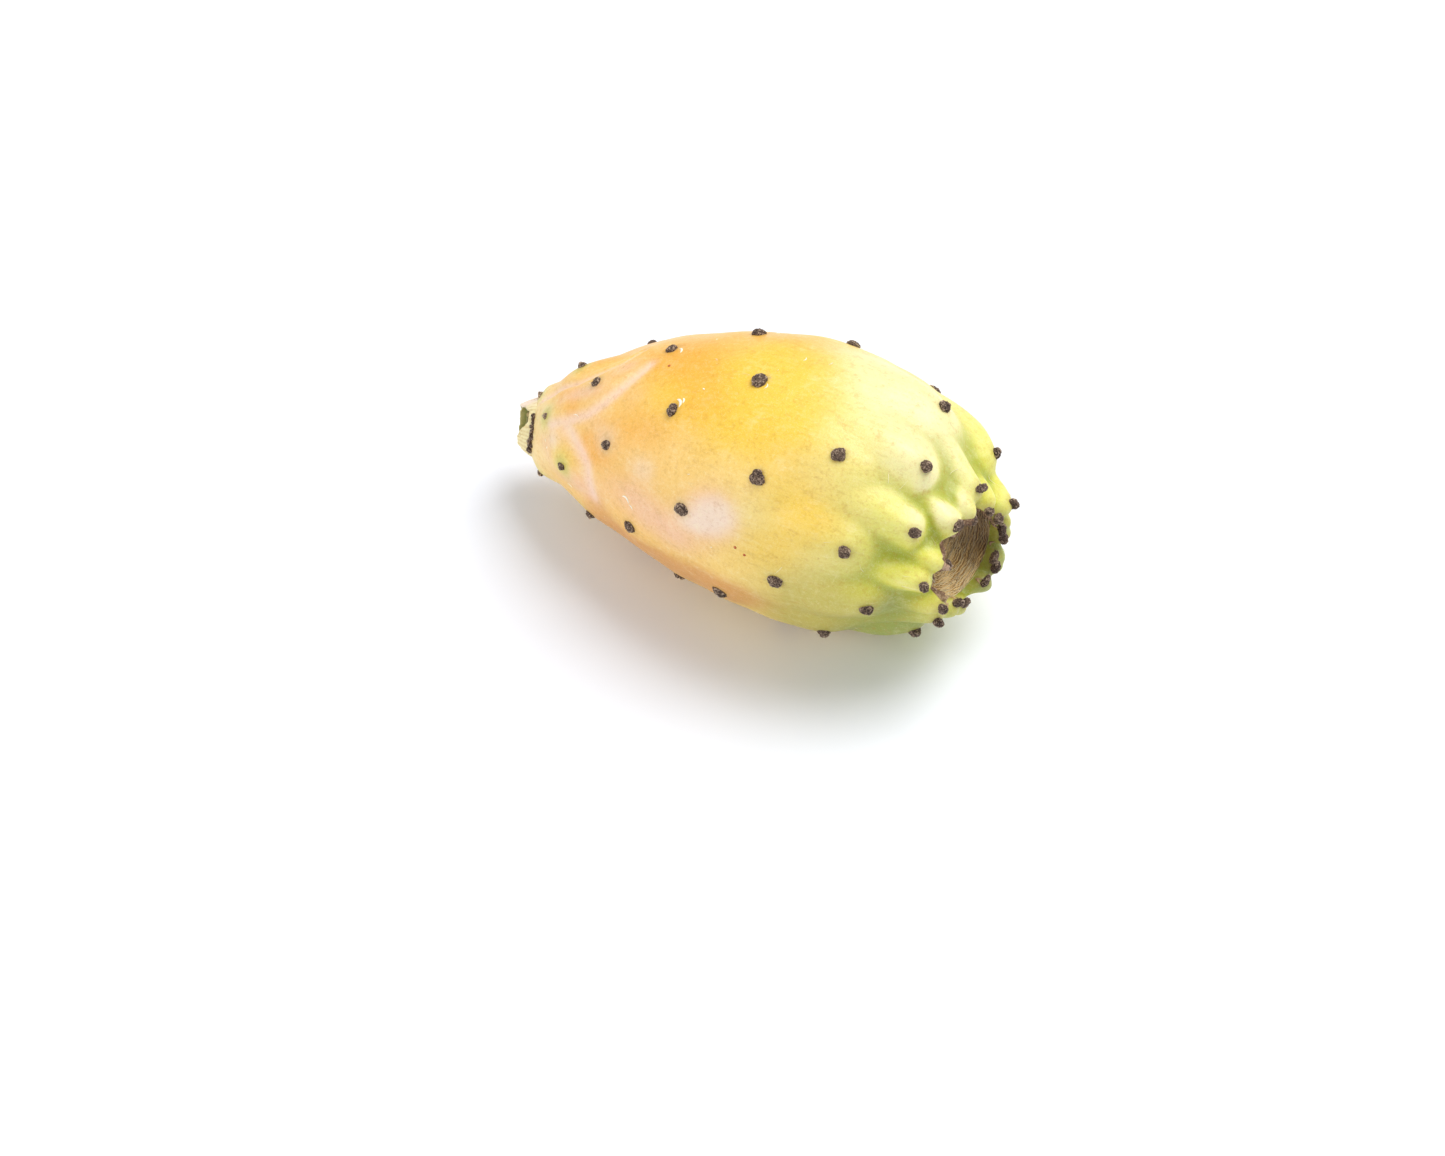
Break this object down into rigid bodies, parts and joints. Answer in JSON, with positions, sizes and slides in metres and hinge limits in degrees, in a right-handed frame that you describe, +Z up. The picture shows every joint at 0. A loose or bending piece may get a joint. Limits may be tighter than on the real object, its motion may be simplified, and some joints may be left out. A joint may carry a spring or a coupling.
{
  "type": "prickly pear fruit",
  "caption": "Whole ripe prickly pear fruit lying on its side, egg-shaped with a narrow torn stem end, a hollow flower scar and felted areoles on low mounds.",
  "frame": {"origin": "middle of the fruit's box, on the surface it lies on", "axes": "+X along the fruit from the torn stem end to the flower scar, +Z up, -Y the side toward the viewer"},
  "size_m": [0.089, 0.0477, 0.0458],
  "materials": {
    "skin": "satin",
    "areoles": "matte",
    "flower_scar": "matte",
    "torn_stem": "matte"
  },
  "bodies": {
    "root": {"prickly_pear_fruit": "skin"}
  },
  "joints": []
}
